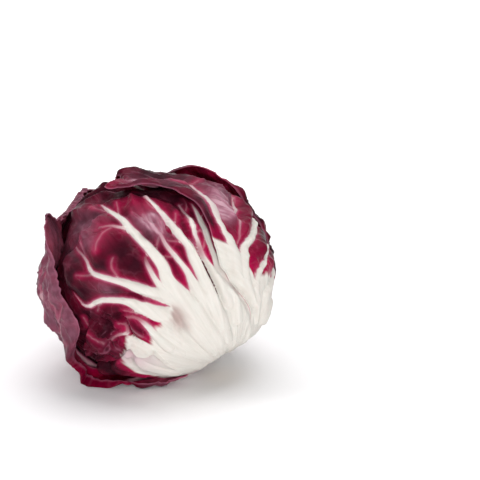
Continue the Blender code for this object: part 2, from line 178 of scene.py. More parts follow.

# Outermost first: each leaf lies over those that come after it.
# Patches of bloom are waxy bloom with painted sheen, and patches of shade are painted shade.
OUTER_LEAVES = (
    Leaf(
        "resting_leaf", -112, 70, 92, 0.35, outline=((37, 9, 0.28), (-12, 8, -0.24), (-31, 14, -0.44)),
        lifts=((-28, 20, 10, 0.3), (8, 20, 1, 0.7), (44, 12, 2, 0.86), (95, 26, 2.6, 0.72)),
        curls=((-29, 16, -75, 8), (37, 8, 140, 16)),
        free=((-62, 14, 0.8), (52, 10, 0.8), (95, 20, 0.5)), side_ribs=4,
        white=((-160, 46), (-112, 44), (-85, 36), (-65, 20), (-40, 14)), crumples=((110, -75, 25, 0.9),),
        bloom_sheen_patches=((60, -70, 20, -0.9), (148, -22, 14, -0.45)),
        fulls=((62, -64, 12, 0.9), (57, -47, 9, 0.9), (54, -30, 9, 0.7)),
        painted_shades=((140, -24, 9, 0.7), (149, -13, 9, 0.6), (140, -36, 9, 0.6)),
        bloom_sheen=0.54, spacing=0.85, seed=3,
    ),
    Leaf(
        "back_leaf", 155, 64, 84, 0.5, outline=((154, 14, 0.12),), lifts=((152, 14, 4.4, 0.74),),
        curls=((152, 14, 45, 7),), frill=0.3, free=((110, 16, 0.6),),
        fulls=((125, 73, 12, 1), (117, 80, 10, 1)), spacing=0.95, seed=7,
    ),
    Leaf(
        "right_leaf", 90, 56, 82, 0.5, outline=((134, 9, 0.24), (167, 17, -0.11)),
        lifts=((153, 19, 5.5, 0.66), (133, 5, 4.6, 0.84), (112, 12, -1, 0.8)), tucks=((222, 40, 4.6),),
        frill=0.3, free=((112, 18, 0.5),), ribs=RIGHT_RIBS,
        white=((34, 91), (38, 90), (41, 86.5), (43, 82.5), (45, 81), (48.5, 73), (51, 61.5), (55, 62),
            (60, 60), (67, 59), (75, 56), (90, 52), (120, 46), (150, 44)),
        crumples=((138, 45, 14, 2), (111, 72, 12, 1.4), (96, 60, 8, 1)),
        bloom_sheen_patches=((104, 58, 9, 0.9), (97, 55, 5, 0.7), (113, 72, 9, 0.5), (142, 41, 7, 1), (130, 52, 8, 0.7)),
        fulls=((87, 59, 7, 0.7), (80, 54, 6, 0.7), (71, 57, 6, 0.7), (148, 26, 8, 0.9), (93, 76, 7, 0.5)),
        painted_shades=((158, 34, 7, 0.5),), pitch=2.6, spacing=0.66, seed=11,
    ),
    Leaf(
        "front_leaf", 0, 62, 70, 0.5,
        outline=((210, 6, -0.42), (219, 6, -0.28), (227, 6, -0.4), (185, 20, 0.08)),
        lifts=((212, 10, 1.6, 0.75), (224, 9, 1.6, 0.82)), frill=0.5, ribs=FRONT_RIBS,
        white=((-70, 50), (-54, 57), (-44, 61), (-40, 63), (-33, 66), (-28, 71), (-25, 67), (-22, 62),
            (-19, 62), (-16, 65), (-13, 66), (-10, 66), (-7, 70), (-3, 69), (0, 71), (2, 78), (3, 80),
            (6, 80), (9, 75), (12, 72.5), (15, 75), (17.5, 76), (19, 74.5), (22, 78), (25.5, 73), (28, 76),
            (30, 77), (33, 82), (36, 80), (42, 84)),
        creases=(
            (4.6, 1.1, ((104, 31), (97, 29), (90, 27.6), (82, 26.8), (73, 25.5), (66, 24.8), (55, 24))),
            (2.8, 0.9, ((94, -21), (88, -12), (82, -6.5), (74, 1))),
            (2.2, 1.1, ((87, -31), (83, -25), (79.5, -18.5), (77, -15))),
            (1.4, 0.8, ((106, 3.5), (98, 4.5), (87, 4.5))),
            (3.4, 1, ((82, -27), (79.5, -22.4), (76, -21.8), (72, -23.4), (68.5, -25.2), (64, -24.5))),
            (1.4, 0.8, ((79, -17.5), (76.5, -14), (72, -12), (65, -11.5))),
            (1.6, 0.7, ((70.6, -28), (71, -34), (71.5, -42))),
            (2.4, 1.1, ((90, -40), (81, -38), (76, -33), (74.5, -29))),
            (1.6, 0.9, ((66, -47), (70, -50), (77, -52), (86, -50))),
            (2.6, 1.9, ((73, -1.4), (69, -0.8), (65, -0.4), (60, -1.1), (54, -4))),
            (2, 0.9, ((112, 13), (104, 12.5), (97, 13), (90, 13.5))),
            (2, 1.2, ((122, 16), (113, 20.5), (104, 21), (96, 20.5))),
            (1.3, 1.3, ((71, -4), (65, -4), (58, -8), (50, -10))),
            (1, 1.2, ((64, 15), (55, 14), (45, 15))),
        ),
        crumples=((84, -36, 8, 3.4), (72, -36, 6, 1.4), (68, -56, 11, 3), (110, 16, 8, 1.6),
            (130, -18, 12, 1.6), (112, 37, 8, 0.8), (106, -5, 13, -2.4)),
        bloom_sheen_patches=((95, -18, 6, 0.35), (133, -17, 11, 0.5), (113, 20, 5, 0.9), (107, 18.5, 5, 0.8),
            (117, 18, 5, 0.6), (119, -14, 5, 0.35)),
        fulls=((117, -6, 7, 0.6), (129, 17, 8, 0.8), (122, 25, 7, 0.7), (127, -4, 5, 0.5),
            (94, 35, 6, 0.5), (86, -33, 4, 0.4)),
        painted_shades=((143, 19, 5, 0.8), (137, 25, 5, 0.9), (132.5, 32, 4.5, 0.9), (128, 37, 4.5, 0.9),
            (121, 40, 4, 0.8), (114, 42.5, 3.5, 0.7), (97, -1, 5, 0.8), (105, -3, 5, 0.6),
            (124, 9, 5, 0.8), (107, 12, 6, 0.8), (109, -34, 8, 0.6), (121, -31, 6, 0.5), (88, -30, 7, 0.6),
            (74, -38, 9, 0.7), (70, -19.5, 5, 0.9), (64, -45, 10, 0.6), (68.5, -0.2, 3.5, 0.9),
            (63.5, -0.8, 3.5, 1), (58.5, -2, 3, 0.7)),
        pitch=3, spacing=0.62, seed=5,
    ),
    Leaf(
        "lower_left_leaf", -62, 52, 74, 0.5,
        ribs=(((30, -45, 3), (45, -42, 2.8), (60, -40, 1.6), (72, -44, 0.8), (90, -52, 0.4)),),
        white=((-90, 25), (-60, 38), (-54, 50), (-50, 58), (-44, 64), (-38, 68), (-20, 68), (0, 64)),
        creases=((3, 1.3, ((70, -30), (66, -33), (60, -38), (55, -45), (48, -52))),),
        # The patches of bloom here paint shade on the white foot that shows through the front leaf's notch.
        bloom_sheen_patches=((62, -38, 6, 0.9), (54, -36, 8, 0.5)), spacing=0.9, seed=17,
    ),
    Leaf("upper_right_leaf", 48, 58, 97, spacing=1.2, seed=23),
    Leaf("lower_back_leaf", -165, 58, 99, spacing=1.2, seed=29),
    Leaf("lower_right_leaf", 122, 56, 80, 0.45, spacing=1.2, seed=31),
)


def smooth_step(low, high, value):
    share = np.clip((value - low) / (high - low), 0, 1)
    return share * share * (3 - 2 * share)


def noise(points, seed):
    """Smooth noise from -1 to 1, one unit between the points of its lattice."""
    cell = np.floor(points).astype(np.int64)
    part = points - cell
    fade = part**3 * (part * (part * 6 - 15) + 10)
    total = np.zeros(len(points))
    for corner in itertools.product((0, 1), repeat=3):
        at = cell + np.array(corner)
        mixed = at[:, 0] * 374761393 + at[:, 1] * 668265263 + at[:, 2] * 2147483647 + seed * 974711
        mixed = (mixed ^ (mixed >> 13)) * 1274126177
        mixed = (mixed ^ (mixed >> 16)) & 0xFFFFFF
        weight = np.prod(np.where(np.array(corner) == 1, fade, 1 - fade), axis=1)
        total += weight * (mixed / 0x7FFFFF - 1)
    return total


def flat_noise(x, y, seed):
    return noise(np.column_stack([x, y, np.full(len(x), 0.37)]), seed)


# Directions on the ball


def head_axes():
    lean, bearing, rise = (math.radians(a) for a in (STEM_LEAN, STEM_BEARING, FRONT_RISE))
    stem = np.array([
        math.sin(lean) * math.cos(bearing),
        math.sin(lean) * math.sin(bearing),
        -math.cos(lean),
    ])
    front = np.array([0, -math.cos(rise), math.sin(rise)])
    front -= stem * (front @ stem)
    front /= np.linalg.norm(front)
    return stem, front, np.cross(front, stem)


STEM_WAY, FRONT_WAY, SIDE_WAY = head_axes()


def ways(polar, azimuth):
    """Unit vectors in those directions from the head's middle, angles in degrees."""
    polar, azimuth = np.radians(np.atleast_1d(polar)), np.radians(np.atleast_1d(azimuth))
    around = np.cos(azimuth)[:, None] * FRONT_WAY + np.sin(azimuth)[:, None] * SIDE_WAY
    return np.cos(polar)[:, None] * STEM_WAY + np.sin(polar)[:, None] * around


def clasp(foot):
    """(polar angle that the stem's axis spreads to, slope) for feet that end at polar angle foot."""
    start = (foot - CLASP_SHORT) / (1 - CLASP_SHORT / CLASP_ENDS)
    return start, 1 - start / CLASP_ENDS


def apart(directions, way):
    """The angle in radians between each direction and one way."""
    return np.arccos(np.clip(directions @ way, -1, 1))


def at_polar(directions, new_polar):
    """The directions with new_polar of their polar angle, where they are within the stem's clasp."""
    polar = np.degrees(apart(directions, STEM_WAY))
    around = directions - (directions @ STEM_WAY)[:, None] * STEM_WAY
    around /= np.maximum(np.linalg.norm(around, axis=1), 1e-9)[:, None]
    turned = np.radians(np.where(polar < CLASP_ENDS, new_polar(polar), polar))
    return np.cos(turned)[:, None] * STEM_WAY + np.sin(turned)[:, None] * around


def leaf_frame(leaf):
    """Unit vectors at the middle of a leaf: outwards, to its right and towards its tip."""
    middle = ways(LEAF_MIDDLE, leaf.azimuth)[0]
    tip_way = ways(LEAF_MIDDLE + 90, leaf.azimuth)[0]
    return middle, np.cross(tip_way, middle), tip_way


def from_plane(leaf, x, y, foot=FOOT_POLAR):
    """(directions, unit vectors away from the leaf's middle) for points of its plane, in degrees."""
    arc, turn = np.radians(np.hypot(x, y)), np.arctan2(y, x)
    middle, right, tip_way = leaf_frame(leaf)
    sideways = np.cos(turn)[:, None] * right + np.sin(turn)[:, None] * tip_way
    directions = np.cos(arc)[:, None] * middle + np.sin(arc)[:, None] * sideways
    outward = np.cos(arc)[:, None] * sideways - np.sin(arc)[:, None] * middle
    start, slope = clasp(foot)
    return at_polar(directions, lambda polar: start + polar * slope), outward


def to_plane(leaf, directions):
    """x and y of each direction in an outer leaf's plane, in degrees."""
    middle, right, tip_way = leaf_frame(leaf)
    start, slope = clasp(FOOT_POLAR)
    directions = at_polar(directions, lambda polar: np.maximum(polar - start, 0) / slope)
    arc = np.degrees(apart(directions, middle))
    x, y = directions @ right, directions @ tip_way
    flat = np.maximum(np.hypot(x, y), 1e-9)
    return arc * x / flat, arc * y / flat


def half_turns(angle):
    """The same angle, from -180 to 180 degrees."""
    return (angle + 180) % 360 - 180


def hill(angle, centre, spread):
    """1 at the centre angle, falling smoothly to 0 either side."""
    return np.exp(-((half_turns(angle - centre) / spread) ** 2))


def bumps(rows, angle):
    total = np.zeros_like(angle)
    for centre, spread, size in rows:
        total += size * hill(angle, centre, spread)
    return total


def narrowed(leaf, along):
    return 1 - leaf.foot_narrowing * smooth_step(NARROWING_STARTS, 1, -along)


def cover(leaf, directions):
    """1 in the directions that a leaf covers, and 0 past its margin."""
    x, y = to_plane(leaf, directions)
    along = y / np.where(y > 0, leaf.to_tip, LEAF_MIDDLE - CLASP_SHORT)
    across = x / (leaf.half_width * narrowed(leaf, along))
    grown = 1 + bumps(leaf.outline, np.degrees(np.arctan2(along, across)))
    return 1 - smooth_step(COVER_STARTS, COVER_FADES, np.hypot(across, along) / grown)


def swell(directions):
    """How far the head as a whole stands out of the ball, or in."""
    slow = 0.9 * noise(directions * 2.1 + 5, 41) + 0.45 * noise(directions * 4.6, 43)
    return slow + patches(SWELLS, directions)


def on_table(directions, radius):
    drop = np.maximum(-directions[:, 2] * STRETCH[2], 1e-6)
    return np.minimum(radius, FLOOR_DROP / drop)


# Ribs, in a leaf's plane in millimetres: rows of (x, y, half width)


def along_curve(points, step=1.4):
    """Points every step along a Catmull-Rom curve through the given ones."""
    points = np.array(points, float)
    ends = np.vstack([2 * points[0] - points[1], points, 2 * points[-1] - points[-2]])
    made = []
    for before, start, end, after in zip(ends, ends[1:], ends[2:], ends[3:]):
        count = max(2, int(np.linalg.norm((end - start)[:2]) / step))
        for t in np.arange(count) / count:
            made.append(0.5 * (
                2 * start + (end - before) * t
                + (2 * before - 5 * start + 4 * end - after) * t * t
                + (3 * start - before - 3 * end + after) * t**3
            ))
    made.append(points[-1])
    return np.array(made)


def curve_on(leaf, row):
    """A curve through a row of (polar, azimuth), or (polar, azimuth, half width), in millimetres."""
    row = np.array(row, float)
    x, y = to_plane(leaf, ways(row[:, 0], row[:, 1]))
    return along_curve(np.column_stack([x * PER_DEGREE, y * PER_DEGREE, row[:, 2:]]))


def fan_ribs(leaf, rng):
    """A midrib and side ribs that leave its foot and bend out to the margin."""
    foot = -(LEAF_MIDDLE - CLASP_SHORT) * PER_DEGREE
    tip = leaf.to_tip * PER_DEGREE
    wide = leaf.half_width * PER_DEGREE
    bend = rng.uniform(-3, 3)
    ribs = [along_curve([
        (0, foot, 4.2), (bend * 0.3, foot * 0.5, 3.4), (bend, 0, 2.2),
        (bend * 0.5, tip * 0.45, 1.3), (0, tip * 0.88, 0.4),
    ])]
    for side in (-1, 1):
        for number in range(leaf.side_ribs):
            share = (number + 0.6 + rng.uniform(-0.15, 0.15)) / leaf.side_ribs
            size = 3 - 1.5 * share
            start = (side * wide * 0.3 * (1 - share) * 0.6, foot * (0.97 - 0.75 * share))
            end_turn = math.radians(-28 + 100 * share)
            end = (side * wide * 0.93 * math.cos(end_turn), tip * 0.9 * math.sin(end_turn))
            knee = (
                start[0] + 0.42 * (end[0] - start[0]) + side * rng.uniform(-1.5, 1.5),
                start[1] + 0.62 * (end[1] - start[1]),
            )
            ribs.append(along_curve([
                (*start, size), (0.5 * (start[0] + knee[0]), 0.45 * start[1] + 0.55 * knee[1], size * 0.8),
                (*knee, size * 0.45), (*end, 0.3),
            ]))
    return ribs


def grow(start, heading, length, size, others, rng, stride=1.2):
    """A vein that wanders from start, in strides, and ends where it meets another."""
    points = [np.array([*start, size])]
    turn = rng.normal(0, 0.06)
    steps = max(3, int(length / stride))
    for step in range(steps):
        heading += turn + rng.normal(0, 0.1)
        width = size * (1 - 0.7 * (step + 1) / steps)
        here = points[-1]
        ahead = stride * math.cos(heading), stride * math.sin(heading)
        there = np.array([here[0] + ahead[0], here[1] + ahead[1], width])
        points.append(there)
        if step > 2 and len(others) and np.hypot(*(others[:, :2] - there[:2]).T).min() < 0.9:
            break
    return np.array(points)


def with_branches(ribs, rng):
    """ribs with finer veins that leave them to either side."""
    taken = np.vstack(ribs)
    new = []
    for rib in ribs:
        steps = np.hypot(*np.diff(rib[:, :2], axis=0).T)
        travelled = np.concatenate([[0], np.cumsum(steps)])
        next_at, side = rng.uniform(3, 9), rng.choice((-1, 1))
        while next_at < travelled[-1] * 0.97:
            k = int(np.searchsorted(travelled, next_at))
            here = rib[k]
            if here[2] < 2.4 and here[1] > BRANCHES_FROM:
                ahead = rib[min(k + 1, len(rib) - 1)] - rib[k - 1]
                heading = math.atan2(ahead[1], ahead[0]) + side * rng.uniform(0.5, 0.8)
                off = here[:2] + here[2] * 0.7 * np.array([math.cos(heading), math.sin(heading)])
                near = taken[np.hypot(*(taken[:, :2] - off).T) > here[2] + 2]
                new.append(grow(off, heading, rng.uniform(9, 18), min(0.4, here[2] * 0.6), near, rng))
            side = -side
            next_at += rng.uniform(8, 16)
    return ribs + new


def rib_fields(ribs, x, y):
    """At each point: ridge height, distance in from the edge of the nearest rib, negative inside it,
    that rib's half width, and distance to the nearest big rib."""
    ridge = np.zeros(len(x))
    edge = np.full(len(x), 9.0)
    size = np.full(len(x), 3.0)
    gap = np.full(len(x), 30.0)
    for rib in ribs:
        big = rib[0, 2] > 0.6
        reach = 10 if big else 4
        low, high = rib[:, :2].min(0) - reach, rib[:, :2].max(0) + reach
        inside = np.flatnonzero((x > low[0]) & (x < high[0]) & (y > low[1]) & (y < high[1]))
        if not len(inside):
            continue
        (from_x, from_y, from_half), (dx, dy, wider) = rib[:-1].T, np.diff(rib, axis=0).T
        px, py = x[inside, None] - from_x, y[inside, None] - from_y
        t = np.clip((px * dx + py * dy) / np.maximum(dx**2 + dy**2, 1e-9), 0, 1)
        away, half = np.hypot(px - t * dx, py - t * dy), from_half + t * wider
        best = np.arange(len(inside)), np.argmin(away - half, axis=1)
        away, half = away[best], half[best]
        tall = 0.72 * np.minimum(half, 2.6) ** 0.75
        ratio = away / half
        shape = tall * np.clip(1 - (ratio / 1.15) ** 2, 0, 1) ** 0.8
        shape -= 0.25 * tall * np.exp(-(((ratio - 1.35) / 0.35) ** 2))
        ridge[inside] = np.where(np.abs(shape) > np.abs(ridge[inside]), shape, ridge[inside])
        closer = (away - half < edge[inside]) & (big | (edge[inside] > 0.5))
        edge[inside] = np.where(closer, away - half, edge[inside])
        size[inside] = np.where(closer, half, size[inside])
        if big:
            gap[inside] = np.minimum(gap[inside], np.maximum(away - half, 0))
    return ridge, edge, size, gap


def crease_depth(leaf, x, y):
    """How far a leaf's creases press in, fading out towards their ends."""
    total = np.zeros(len(x))
    for depth, half_width, row in leaf.creases:
        line = curve_on(leaf, row)
        away = np.hypot(x[:, None] - line[:, 0], y[:, None] - line[:, 1])
        k = away.argmin(1)
        away = away[np.arange(len(x)), k]
        ends = np.sin(np.pi * np.clip(k / (len(line) - 1), 0.02, 0.98)) ** 0.5
        total = np.maximum(total, depth * ends * np.exp(-((away / half_width) ** 2)))
    return total


def patches(rows, directions):
    """The sum of round patches: rows of (polar, azimuth, radius, height)."""
    total = np.zeros(len(directions))
    for polar, azimuth, radius, height in rows:
        reach = apart(directions, ways(polar, azimuth)[0]) * BALL
        total += height * np.exp(-((reach / radius) ** 2))
    return total


def ridged(x, y, seed):
    """Noise with sharp crests, near 1, between broad hollows."""
    return (1 - np.abs(flat_noise(x, y, seed))) ** 3


def crumple(leaf, directions, x, y):
    """(height, crest) of the sharp folds of a leaf."""
    amount = np.maximum(0.5 + patches(leaf.crumples, directions), 0.1)
    warp = 3.5 * flat_noise(x / 9, y / 9, leaf.seed + 20)
    crest = ridged((x + warp) / 7.5, (y - warp) / 7.5, leaf.seed + 21)
    small = ridged((x - warp) / 3.5, (y + warp) / 3.5, leaf.seed + 22)
    return amount * (crest - 0.6 + 0.45 * (small - 0.6)), crest * small * np.minimum(amount, 1)


# Leaf meshes


def read(items, name, kind=np.int32, width=1):
    values = np.empty(len(items) * width, kind)
    items.foreach_get(name, values)
    return values


def points_of(mesh):
    return read(mesh.vertices, "co", float, 3).reshape(-1, 3)


def mesh_from(bm, name):
    mesh = bpy.data.meshes.new(name)
    bm.to_mesh(mesh)
    bm.free()
    return mesh


def place_points(mesh, places, middle):
    """Moves the mesh's points to places, in millimetres from the head's middle."""
    mesh.vertices.foreach_set("co", (places / 1000 + middle).astype(np.float32).ravel())


def add_object(name, data, materials=()):
    for one in materials:
        data.materials.append(one)
    made = bpy.data.objects.new(name, data)
    bpy.context.scene.collection.objects.link(made)
    return made


def leaf_grid(leaf, across, along):
    """A leaf's mesh, still the square that its UV map shows, and for each of its points: right and up
    on the unit disc, share of the way to the margin, and margin angle."""
    bm = bmesh.new()
    bmesh.ops.create_grid(bm, x_segments=across, y_segments=along, size=1)
    mesh = mesh_from(bm, leaf.name)
    flat = points_of(mesh)[:, :2]
    add_uv(mesh, flat)
    u, v = flat[:, 0], flat[:, 1]
    right, up = u * np.sqrt(1 - v * v / 2), v * np.sqrt(1 - u * u / 2)
    return mesh, right, up, np.hypot(right, up), np.degrees(np.arctan2(up, right))


def on_plane(leaf, right, up):
    """A leaf's disc in its plane, in degrees."""
    x = right * leaf.half_width * narrowed(leaf, up)
    return x, up * np.where(up > 0, leaf.to_tip, LEAF_MIDDLE - CLASP_SHORT)


def add_field(mesh, name, values):
    values = np.asarray(values, np.float32)
    if values.ndim == 1:
        mesh.attributes.new(name, "FLOAT", "POINT").data.foreach_set("value", values)
    else:
        made = mesh.attributes.new(name, "FLOAT_VECTOR", "POINT")
        made.data.foreach_set("vector", values.ravel())


def fan_of(x, y):
    """The angle in degrees and the distance of a leaf's points from the centre of its foot."""
    up = y + LEAF_MIDDLE * PER_DEGREE
    return np.degrees(np.arctan2(x, up)), np.hypot(x, up)


def add_fields(mesh, leaf, x, y, **fields):
    """What a leaf's material goes by, in millimetres or degrees. Only crest and tone are shares, and
    they read as 0 on a leaf without them."""
    own = np.full(len(x), leaf.seed * 7.0)
    fields["plane"] = np.column_stack([x, y, own])
    fields["fan"] = np.column_stack([*fan_of(x, y), own])
    for name, values in fields.items():
        add_field(mesh, name, values)


def add_uv(mesh, flat):
    """A UV map of the grid, before thickening: see thicken."""
    uv = (flat[read(mesh.loops, "vertex_index")] * 0.485 + 0.5).astype(np.float32)
    mesh.uv_layers.new(name="OFBake").data.foreach_set("uv", uv.ravel())


def thicken(made, thickness, thin):
    """Gives the leaf its inside face, thinner where thin is low, and a half of the UV map each."""
    group = made.vertex_groups.new(name="thick")
    for level in range(1, 11):
        members = np.flatnonzero(np.round(thin * 10).astype(int) == level)
        group.add(members.tolist(), level / 10, "REPLACE")
    shell = made.modifiers.new("Thickness", "SOLIDIFY")
    shell.thickness = thickness
    shell.offset = -1
    shell.vertex_group = group.name
    shell.material_offset = 1
    graph = bpy.context.evaluated_depsgraph_get()
    solid = bpy.data.meshes.new_from_object(made.evaluated_get(graph))
    place = points_of(solid)
    place[:, 2] = np.maximum(place[:, 2], 0)
    solid.vertices.foreach_set("co", place.ravel())
    made.modifiers.clear()
    made.vertex_groups.clear()
    made.data = solid
    side, corners = (read(solid.polygons, name) for name in ("material_index", "loop_total"))
    layer = solid.uv_layers["OFBake"].data
    uv = read(layer, "uv", np.float32, 2).reshape(-1, 2)
    uv[:, 0] = uv[:, 0] * 0.5 + 0.5 * np.repeat(side, corners)
    layer.foreach_set("uv", uv.ravel())
    solid.shade_smooth()


def frill(leaf, margin, angle, reach, seed):
    """(outward, sideways) waves of the margin; margin is the distance from it in millimetres."""
    along = np.radians(angle) * reach
    size = leaf.frill + bumps(leaf.free, angle)
    wander = 1.6 * flat_noise(along * 0.05, margin * 0.02, seed)
    wave = np.sin(along * 2 * np.pi / LONG_WAVE + 2.5 * wander)
    small = np.sin(along * 2 * np.pi / SHORT_WAVE + 3 * wander + 1)
    strength = 0.6 + 0.5 * flat_noise(along * 0.11, margin * 0 + 3, seed + 1)
    band = np.exp(-np.maximum(margin, 0) / 4.5)
    fine = np.exp(-np.maximum(margin, 0) / 1.8)
    out = size * strength * (band * (0.55 + 0.45 * wave) + 0.35 * fine * small)
    return out, 0.55 * size * strength * fine * np.sin(along * 2 * np.pi / SIDE_WAVE + wander * 2)


def relief_of(leaf, directions, x, y, ridge, gap, base):
    """(height, crest) of a leaf's ribs, puckers, flutes, blisters, folds and creases. It is calmer on
    the white base."""

    def rough(width, length, number):
        return flat_noise(x / width, y / length, leaf.seed + number)

    fan_angle, fan_reach = fan_of(x, y)
    pucker = 2.4 * (1 - np.exp(-((gap / 3) ** 2))) * (1 - base)
    pucker *= 1 + 0.9 * rough(12, 12, 7)
    wrinkles = ridged(fan_angle * 0.21, fan_reach * 0.035, leaf.seed + 8) - 0.5
    wrinkles *= 2.4 * smooth_step(-0.3, 0.4, rough(16, 16, 13))
    flutes = 0.5 * flat_noise(fan_angle * 0.24, fan_reach * 0.012, leaf.seed + 3)
    flutes += 0.3 * ridged(fan_angle * 0.4, fan_reach * 0.03, leaf.seed + 4)
    blisters = 1.05 * rough(7.5, 10, 5)
    blisters += 0.45 * rough(3.2, 4.4, 6)
    folds, crest = crumple(leaf, directions, x, y)
    lively = np.clip(1 + 0.3 * patches(leaf.crumples, directions), 0.15, 2) * (1 - 0.85 * base)
    relief = ridge + pucker + flutes + folds * (1 - 0.85 * base) + (blisters + wrinkles) * lively
    return np.maximum(relief - crease_depth(leaf, x, y), LOWEST_RELIEF), crest


def outer_leaf(leaf, over, middle, materials):
    rng = np.random.default_rng(leaf.seed)
    across = int(2 * leaf.half_width * PER_DEGREE / leaf.spacing)
    lengthwise = int((leaf.to_tip + LEAF_MIDDLE - CLASP_SHORT) * PER_DEGREE / leaf.spacing)
    mesh, right, up, share, angle = leaf_grid(leaf, across, lengthwise)
    grown = 1 + bumps(leaf.outline, angle) * share
    right, up = right * grown, up * grown
    x, y = on_plane(leaf, right, up)
    turn = np.radians(angle)
    length = np.where(up > 0, leaf.to_tip, LEAF_MIDDLE)
    to_edge = PER_DEGREE * np.hypot(leaf.half_width * np.cos(turn), length * np.sin(turn))
    margin = (1 - share) * to_edge
    # A ragged margin: the outline itself wanders a little.
    ragged = 0.8 * flat_noise(angle * 0.09, margin * 0, leaf.seed)
    ragged += 0.5 * flat_noise(angle * 0.33, margin * 0, leaf.seed + 2)
    pull = 1 + ragged / to_edge * np.exp(-margin / 6)
    x, y = x * pull, y * pull
    directions, outward = from_plane(leaf, x, y)
    x_mm, y_mm = x * PER_DEGREE, y * PER_DEGREE

    ribs = [curve_on(leaf, row) for row in leaf.ribs] or fan_ribs(leaf, rng)
    ridge, edge, size, gap = rib_fields(with_branches(ribs, rng), x_mm, y_mm)
    edge += 3 * np.exp(-margin / 5)
    polar = np.degrees(apart(directions, STEM_WAY))
    azimuth = np.degrees(np.arctan2(directions @ SIDE_WAY, directions @ FRONT_WAY))
    azimuth = leaf.azimuth + half_turns(azimuth - leaf.azimuth)
    white = np.array(leaf.white, float)
    foot = np.interp(azimuth, white[:, 0], white[:, 1]) - polar

    covered = np.zeros(len(x))
    depth = np.zeros(len(x))
    for upper in over:
        held = cover(upper, directions)
        depth += upper.pitch * held * smooth_step(15, 75, polar)
        covered = np.maximum(covered, held)
    lift = np.zeros(len(x))
    for centre, spread, height, stays_down in leaf.lifts:
        lift += height * hill(angle, centre, spread) * smooth_step(stays_down, 1.05, share)

    relief, crest = relief_of(leaf, directions, x_mm, y_mm, ridge, gap, smooth_step(-16, 4, foot))
    relief *= 1 - 0.75 * covered
    for centre, spread, tucked in leaf.tucks:
        relief -= tucked * hill(angle, centre, spread) * (1 - smooth_step(0, 6, margin))

    waves, sideways = frill(leaf, margin, angle, to_edge, leaf.seed + 9)
    free = 1 - covered
    ball = BALL + swell(directions) - 2 * smooth_step(-24, -11, -polar)
    radius = on_table(directions, ball + lift) - depth + relief * smooth_step(0, 3, margin + 1)
    radius = on_table(directions, radius + waves * free)
    places = directions * radius[:, None] + outward * (sideways * free)[:, None]

    for centre, spread, degrees, band in leaf.curls:
        beyond = np.maximum(band - margin, 0)
        rolled = math.radians(abs(degrees)) * hill(angle, centre, spread) * beyond / band
        rolled = np.maximum(rolled * free, 1e-4)
        arc_radius = beyond / rolled
        way = math.copysign(1, degrees)
        places += outward * (arc_radius * np.sin(rolled) - beyond)[:, None]
        places += directions * (way * arc_radius * (1 - np.cos(rolled)))[:, None]

    places = places * STRETCH
    places[:, 2] = np.maximum(places[:, 2], -FLOOR_DROP)
    place_points(mesh, places, middle)
    # tone: waxy bloom with painted sheen, full red, and painted shade
    tone = np.stack([patches(rows, directions) for rows in (leaf.bloom_sheen_patches, leaf.fulls, leaf.painted_shades)], 1)
    tone = np.clip(tone + (leaf.bloom_sheen, 0, 0), 0, 1)
    fields = {"rib": edge, "rib_size": size, "foot": foot, "margin": margin}
    add_fields(mesh, leaf, x_mm, y_mm, **fields, crest=crest, tone=tone)
    made = add_object(leaf.name + "_look", mesh, materials)
    thicken(made, SKIN, 0.45 + 0.55 * smooth_step(0, 12, margin))
    return made


# Inner pieces


def inner_leaf(number, radius, thickness, middle, materials):
    leaf = Leaf(f"inner_leaf_{number + 1}", number * GOLDEN_ANGLE, 70, 97, side_ribs=4, seed=50 + number)
    rng = np.random.default_rng(leaf.seed)
    mesh, right, up, share, _ = leaf_grid(leaf, 56, 64)
    x, y = on_plane(leaf, right, up)
    down = (radius - STEM_TOP) / STEM_LENGTH
    stem_here = STEM_TOP_RADIUS + (STEM_CUT_RADIUS - STEM_TOP_RADIUS) * down
    foot = math.degrees(math.asin((stem_here + 1.2) / radius))
    directions, _ = from_plane(leaf, x, y, foot)
    x_mm, y_mm = x * PER_DEGREE, y * PER_DEGREE
    ridge, edge, size, gap = rib_fields(fan_ribs(leaf, rng), x_mm, y_mm)
    wrinkles = 0.32 * flat_noise(x_mm / 6, y_mm / 8, leaf.seed)
    places = directions * (radius - 0.35 + 0.12 * ridge + wrinkles)[:, None] * STRETCH
    place_points(mesh, places, middle)
    foot = WHITE_TO - np.degrees(apart(directions, STEM_WAY))
    margin = (1 - share) * leaf.half_width * PER_DEGREE
    add_fields(mesh, leaf, x_mm, y_mm, rib=edge, rib_size=size, foot=foot, margin=margin)
    made = add_object(leaf.name + "_look", mesh, materials)
    thicken(made, thickness, np.ones(len(x)))
    return made


def heart(middle, material):
    """The bud of the smallest leaves: a ball with spiral folds."""
    bm = bmesh.new()
    bmesh.ops.create_uvsphere(bm, u_segments=96, v_segments=60, radius=1, calc_uvs=True)
    mesh = mesh_from(bm, "heart")
    spots = points_of(mesh)
    azimuth = np.arctan2(spots[:, 1], spots[:, 0])
    flank = 1 - spots[:, 2] ** 2
    wound = 5 * azimuth + 4 * spots[:, 2]
    fold = 1.2 * flank * (0.5 - 0.5 * np.cos(wound))
    fold += 0.5 * flank * (0.5 - 0.5 * np.cos(3 * wound + 2 * noise(spots * 2, 71)))
    fold += 0.25 * (1 + noise(spots * 4, 72))
    turned = spots[:, :1] * FRONT_WAY + spots[:, 1:2] * SIDE_WAY - spots[:, 2:] * STEM_WAY
    places = turned * (HEART_RADIUS - fold)[:, None] * STRETCH
    place_points(mesh, places, middle)
    add_field(mesh, "fold", fold)
    mesh.shade_smooth()
    return add_object("heart_look", mesh, [material])


